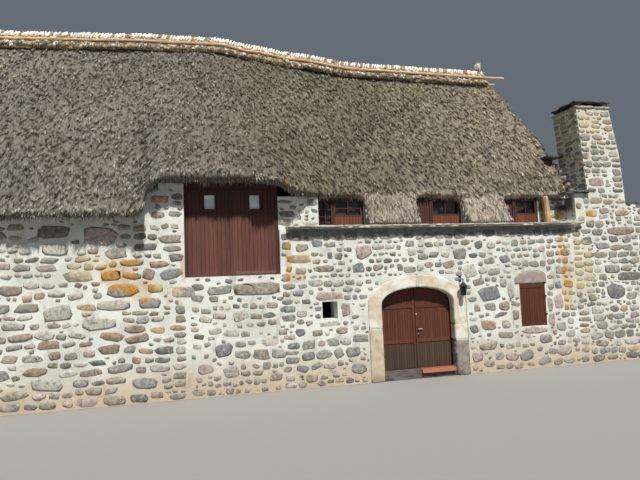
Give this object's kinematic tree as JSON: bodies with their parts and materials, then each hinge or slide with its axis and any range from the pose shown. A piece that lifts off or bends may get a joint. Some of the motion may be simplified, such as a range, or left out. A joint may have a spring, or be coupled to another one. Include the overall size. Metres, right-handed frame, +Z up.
{
  "type": "thatched cottage",
  "caption": "Long stone cottage with a thatched roof, arched double door opening inwards, barn door, eyebrow windows over a slate ledge and an end chimney.",
  "frame": {"origin": "middle of the plan, gable to chimney end and front to back, at the lowest ground line under the walls", "axes": "+X along the front towards the chimney, +Y from the front wall to the back wall, +Z up"},
  "size_m": [21.01, 9.4702, 11.39],
  "materials": {
    "rubble_stone": "rough grey, brown and pink field stones in wide cream mortar",
    "dressed_stone": "tooled cream and ochre stone",
    "slate": "rough dark grey slate",
    "floor_stone": "worn stone flags",
    "old_thatch": "weathered grey-brown straw, coarse and matt",
    "new_straw": "dry pale straw, matt",
    "brown_wood": "red-brown stained boards, weathered",
    "pale_wood": "bare barked pole wood",
    "floor_wood": "rough sawn boards and timbers",
    "dark_iron": "dark painted iron",
    "handle_metal": "satin metal",
    "window_glass": "plain window glass"
  },
  "bodies": {
    "house": {"ground_floor": "floor_stone", "upper_floor": "floor_wood", "front_wall_left": "rubble_stone", "front_wall_middle": "rubble_stone", "front_wall_over_arch": "rubble_stone", "front_wall_right": "rubble_stone", "window_lintel": "dressed_stone", "barn_door_lintel": "brown_wood", "back_wall": "rubble_stone", "back_shutter_upper_left": "brown_wood", "back_shutter_upper_right": "brown_wood", "back_shutter_lower": "brown_wood", "left_gable_wall": "rubble_stone", "right_gable_wall": "rubble_stone", "chimney_breast": "rubble_stone", "shoulder_slab": "slate", "chimney_stack": "rubble_stone", "chimney_cap": "dressed_stone", "chimney_hood": "slate", "slate_ledge": "slate", "drip_slate": "slate", "arch_stone_left": "dressed_stone", "arch_stone_right": "dressed_stone", "jamb_stone_left": "dressed_stone", "jamb_stone_right_upper": "dressed_stone", "jamb_stone_right_lower": "rubble_stone", "door_threshold": "brown_wood", "door_frame": "brown_wood", "barn_door_frame": "brown_wood", "barn_door_left": "brown_wood", "barn_pane_left": "window_glass", "barn_door_right": "brown_wood", "barn_pane_right": "window_glass", "upper_window_left": "brown_wood", "upper_glass_left": "window_glass", "upper_window_middle": "brown_wood", "upper_glass_middle": "window_glass", "upper_window_right": "brown_wood", "upper_glass_right": "window_glass", "window_post": "pale_wood", "window_shutter": "brown_wood", "wall_lantern": "dark_iron", "roof_frame": "floor_wood", "thatch_front": "old_thatch", "thatch_back": "old_thatch", "thatch_hip_right": "old_thatch", "thatch_hip_left": "old_thatch", "ridge_cap": "new_straw", "ridge_pole_front": "pale_wood", "ridge_pole_back": "pale_wood", "ridge_tuft": "new_straw"},
    "door_leaf_left": {"arched_door_left": "brown_wood"},
    "door_leaf_right": {"arched_door_right": "brown_wood", "door_handle": "handle_metal"}
  },
  "joints": [
    {"name": "door_hinge_left", "type": "hinge", "parent": "house", "child": "door_leaf_left", "pos_m": [1.21, -3.68, 1.2], "axis": [0, 0, 1], "range_deg": [0, 90]},
    {"name": "door_hinge_right", "type": "hinge", "parent": "house", "child": "door_leaf_right", "pos_m": [3.59, -3.68, 1.2], "axis": [0, 0, -1], "range_deg": [0, 90]}
  ]
}
